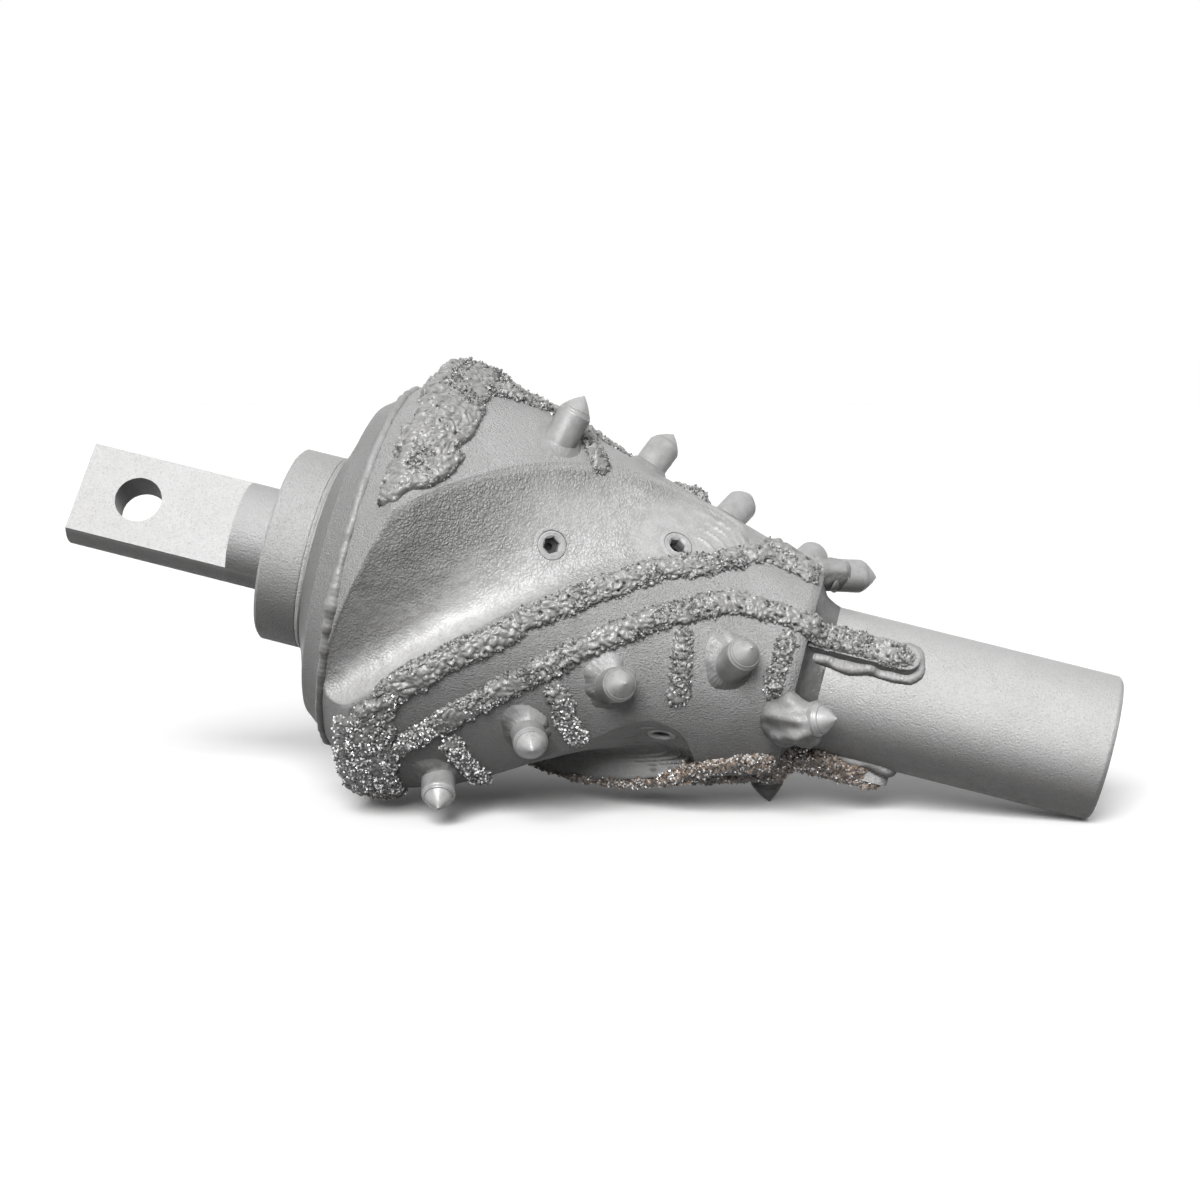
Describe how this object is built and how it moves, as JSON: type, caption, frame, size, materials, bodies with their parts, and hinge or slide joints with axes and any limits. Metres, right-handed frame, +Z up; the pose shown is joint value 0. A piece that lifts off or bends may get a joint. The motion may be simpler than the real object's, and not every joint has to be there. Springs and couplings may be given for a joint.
{
  "type": "button reamer",
  "caption": "Spiral-fluted cone reamer for horizontal drilling with carbide bits, hardfacing, fluid jets, a threaded drill stem and a bearing swivel tang.",
  "frame": {"origin": "centre of the drill stem's box face, on the tool axis", "axes": "+X along the tool axis, out of the threaded box towards the drill string; the swivel tang points to -X; +Z up"},
  "size_m": [0.602, 0.2468, 0.2557],
  "materials": {
    "silver_paint": "satin aluminium paint over cast and machined steel",
    "hardfacing": "rough carbide-grit hardfacing under silver paint",
    "carbide": "carbide cone under a thin coat of silver paint",
    "jet_steel": "plain steel jet",
    "machined_steel": "bright machined steel",
    "bearing_steel": "ground bearing steel",
    "cage_brass": "machined brass",
    "plain_steel": "turned steel",
    "seal_rubber": "black nitrile rubber"
  },
  "bodies": {
    "reamer": {"drill_stem": "silver_paint", "cutter_body": "silver_paint", "back_plate": "silver_paint", "rim_weld": "silver_paint", "nose_weld": "silver_paint", "hub_weld": "silver_paint", "tail_rib_a": "silver_paint", "tail_rib_b": "silver_paint", "tail_rib_c": "silver_paint", "hardfacing_a": "hardfacing", "hardfacing_b": "hardfacing", "hardfacing_c": "hardfacing", "bit_welds_a": "silver_paint", "bit_welds_b": "silver_paint", "bit_welds_c": "silver_paint", "carbide_tips_a": "carbide", "carbide_tips_b": "carbide", "carbide_tips_c": "carbide", "bit_a1": "silver_paint", "bit_a2": "silver_paint", "bit_a3": "silver_paint", "bit_a4": "silver_paint", "bit_a5": "silver_paint", "bit_b1": "silver_paint", "bit_b2": "silver_paint", "bit_b3": "silver_paint", "bit_b4": "silver_paint", "bit_b5": "silver_paint", "bit_c1": "silver_paint", "bit_c2": "silver_paint", "bit_c3": "silver_paint", "bit_c4": "silver_paint", "bit_c5": "silver_paint", "jet_1": "jet_steel", "jet_2": "jet_steel", "jet_3": "jet_steel", "jet_4": "jet_steel", "jet_5": "jet_steel", "jet_6": "jet_steel", "swivel_housing": "silver_paint", "end_cap": "silver_paint", "cap_o_ring": "seal_rubber", "shaft_seal": "seal_rubber", "grease_plug": "plain_steel", "cup_spacer": "plain_steel", "rear_cup": "bearing_steel", "front_cup": "bearing_steel"},
    "swivel": {"swivel_spindle": "machined_steel", "rear_cone": "bearing_steel", "front_cone": "bearing_steel", "cone_spacer": "plain_steel", "lock_washer": "plain_steel", "spindle_nut": "plain_steel", "nut_pin": "plain_steel"},
    "rear_roller_set": {"rear_cage": "cage_brass", "rear_rollers": "bearing_steel"},
    "front_roller_set": {"front_cage": "cage_brass", "front_rollers": "bearing_steel"}
  },
  "joints": [
    {"name": "swivel_spin", "type": "hinge", "parent": "reamer", "child": "swivel", "pos_m": [-0.42, 0, 0], "axis": [1, 0, 0], "continuous": true},
    {"name": "rear_roller_spin", "type": "hinge", "parent": "reamer", "child": "rear_roller_set", "pos_m": [-0.4274, 0, 0], "axis": [1, 0, 0], "continuous": true},
    {"name": "front_roller_spin", "type": "hinge", "parent": "reamer", "child": "front_roller_set", "pos_m": [-0.3904, 0, 0], "axis": [1, 0, 0], "continuous": true}
  ],
  "couplings": [
    {"joint": "rear_roller_spin", "follows": "swivel_spin", "ratio": 0.444},
    {"joint": "front_roller_spin", "follows": "swivel_spin", "ratio": 0.444}
  ]
}
